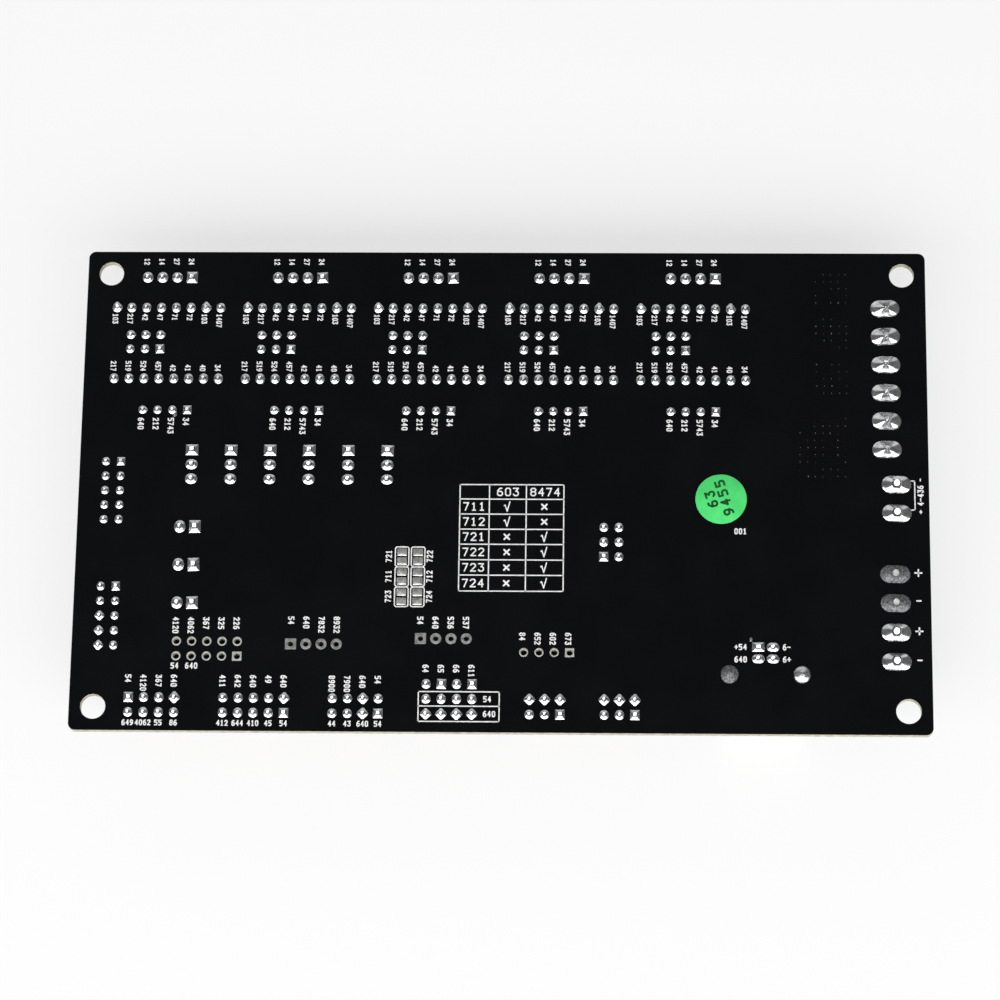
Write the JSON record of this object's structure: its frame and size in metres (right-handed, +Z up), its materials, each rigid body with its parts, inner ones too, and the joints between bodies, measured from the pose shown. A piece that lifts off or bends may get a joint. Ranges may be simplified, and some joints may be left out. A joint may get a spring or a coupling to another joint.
{
  "type": "printer controller board",
  "caption": "Rectangular circuit board for a desktop 3-D printer, soldered face up, with pin headers, wire connectors, screw terminals, a USB socket and motor driver sockets underneath.",
  "frame": {"origin": "centre of the board's outline, on the surface that its tall parts lie on", "axes": "+X along the board towards the screw terminals, +Y across it towards the motor connectors, +Z up, out of the soldered face"},
  "size_m": [0.143, 0.084, 0.0143],
  "materials": {
    "aluminium_can": "satin",
    "black_nylon": "matte",
    "button_plastic": "matte",
    "cap_plastic": "matte",
    "chip_epoxy": "matte",
    "clamp_metal": "satin",
    "crystal_can": "satin",
    "ferrite": "matte",
    "fuse_epoxy": "satin",
    "gold_plate": "polished",
    "green_nylon": "satin",
    "nickel_sheet": "satin",
    "solder": "polished",
    "solder_mask": "satin",
    "switch_steel": "satin",
    "tinned_copper": "satin",
    "white_nylon": "satin",
    "zinc_screw": "satin"
  },
  "bodies": {
    "board": {"aux_header_1": "black_nylon", "aux_header_2": "black_nylon", "aux_header_3": "black_nylon", "bed_terminal": "green_nylon", "board": "solder_mask", "box_header_1": "black_nylon", "box_header_2": "black_nylon", "capacitors": "aluminium_can", "contact_pins": "gold_plate", "crystals": "crystal_can", "driver_sockets_1": "black_nylon", "driver_sockets_2": "black_nylon", "driver_sockets_3": "black_nylon", "driver_sockets_4": "black_nylon", "driver_sockets_5": "black_nylon", "endstop_connector_1": "white_nylon", "endstop_connector_2": "white_nylon", "endstop_connector_3": "white_nylon", "endstop_connector_4": "white_nylon", "endstop_connector_5": "white_nylon", "endstop_connector_6": "white_nylon", "fuses": "fuse_epoxy", "inductor": "ferrite", "microstep_caps": "cap_plastic", "microstep_header_1": "black_nylon", "microstep_header_2": "black_nylon", "microstep_header_3": "black_nylon", "microstep_header_4": "black_nylon", "microstep_header_5": "black_nylon", "motor_connector_1": "white_nylon", "motor_connector_2": "white_nylon", "motor_connector_3": "white_nylon", "motor_connector_4": "white_nylon", "motor_connector_5": "white_nylon", "output_terminal": "green_nylon", "power_terminal": "green_nylon", "processor": "chip_epoxy", "program_header": "black_nylon", "regulator": "chip_epoxy", "reset_switch": "switch_steel", "servo_header": "black_nylon", "signal_header_1": "black_nylon", "signal_header_2": "black_nylon", "solder_joints": "solder", "step_header_1": "black_nylon", "step_header_2": "black_nylon", "step_header_3": "black_nylon", "step_header_4": "black_nylon", "step_header_5": "black_nylon", "terminal_clamps": "clamp_metal", "terminal_screws": "zinc_screw", "thermistor_connector_1": "white_nylon", "thermistor_connector_2": "white_nylon", "thermistor_connector_3": "white_nylon", "transistor_tabs": "tinned_copper", "transistors": "chip_epoxy", "usb_chip": "chip_epoxy", "usb_core": "white_nylon", "usb_shell": "nickel_sheet"},
    "button": {"reset_button": "button_plastic"}
  },
  "joints": [
    {"name": "reset_press", "type": "slide", "parent": "board", "child": "button", "axis": [0, 0, 1], "range_m": [0, 0.00025], "stiffness_N_per_m": 4000}
  ]
}
